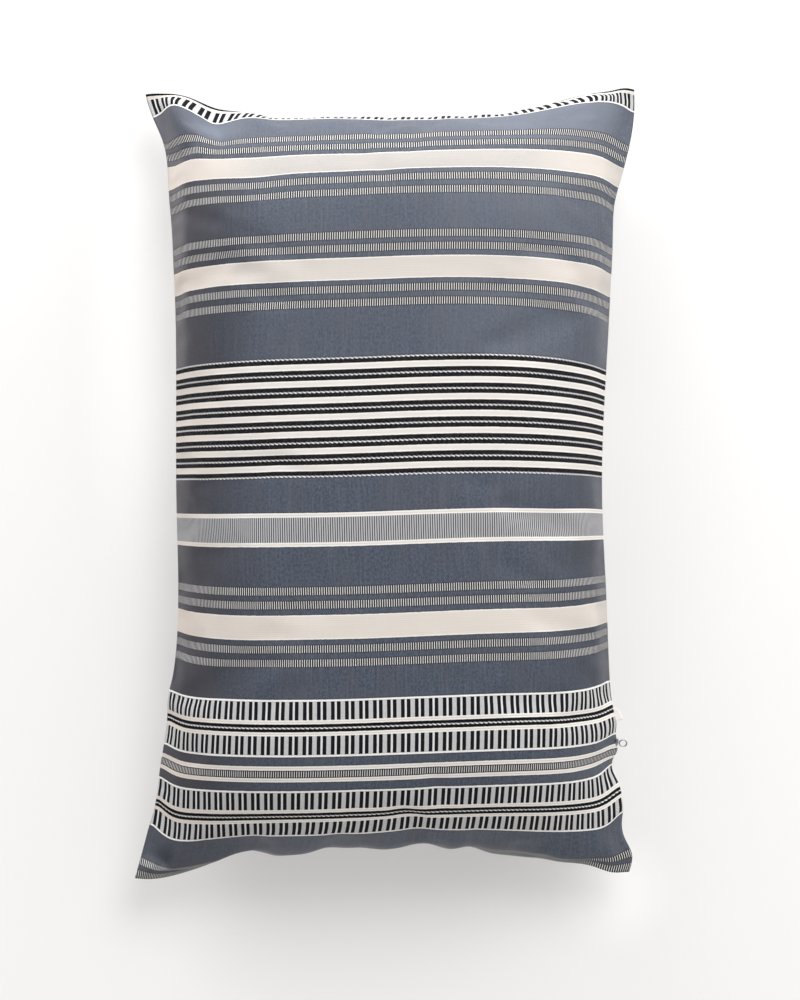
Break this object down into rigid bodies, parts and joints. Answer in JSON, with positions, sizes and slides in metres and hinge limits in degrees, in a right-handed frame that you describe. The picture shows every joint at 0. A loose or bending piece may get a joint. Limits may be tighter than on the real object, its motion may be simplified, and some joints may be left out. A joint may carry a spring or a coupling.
{
  "type": "filled cushion cover",
  "caption": "Long filled cushion cover of striped woven cotton, lying on its back, with a knife-edge seam, soft ears, a bare side tag and the slider and pull of a side zip.",
  "frame": {"origin": "middle of the cushion's outline, on the surface that it lies on", "axes": "+Y up the cushion's length, towards the end that is at the top of the picture; +X to the side with the zip and the tag; +Z out of the front panel"},
  "size_m": [0.41, 0.643, 0.1429],
  "materials": {
    "striped_cloth": "woven cotton, slate grey with cream, black and white weft stripes",
    "tag_cloth": "unprinted cotton tape",
    "zip_metal": "satin nickel"
  },
  "bodies": {
    "root": {"cushion": "striped_cloth", "side_tag": "tag_cloth", "zip_slider": "zip_metal", "zip_pull": "zip_metal"}
  },
  "joints": []
}
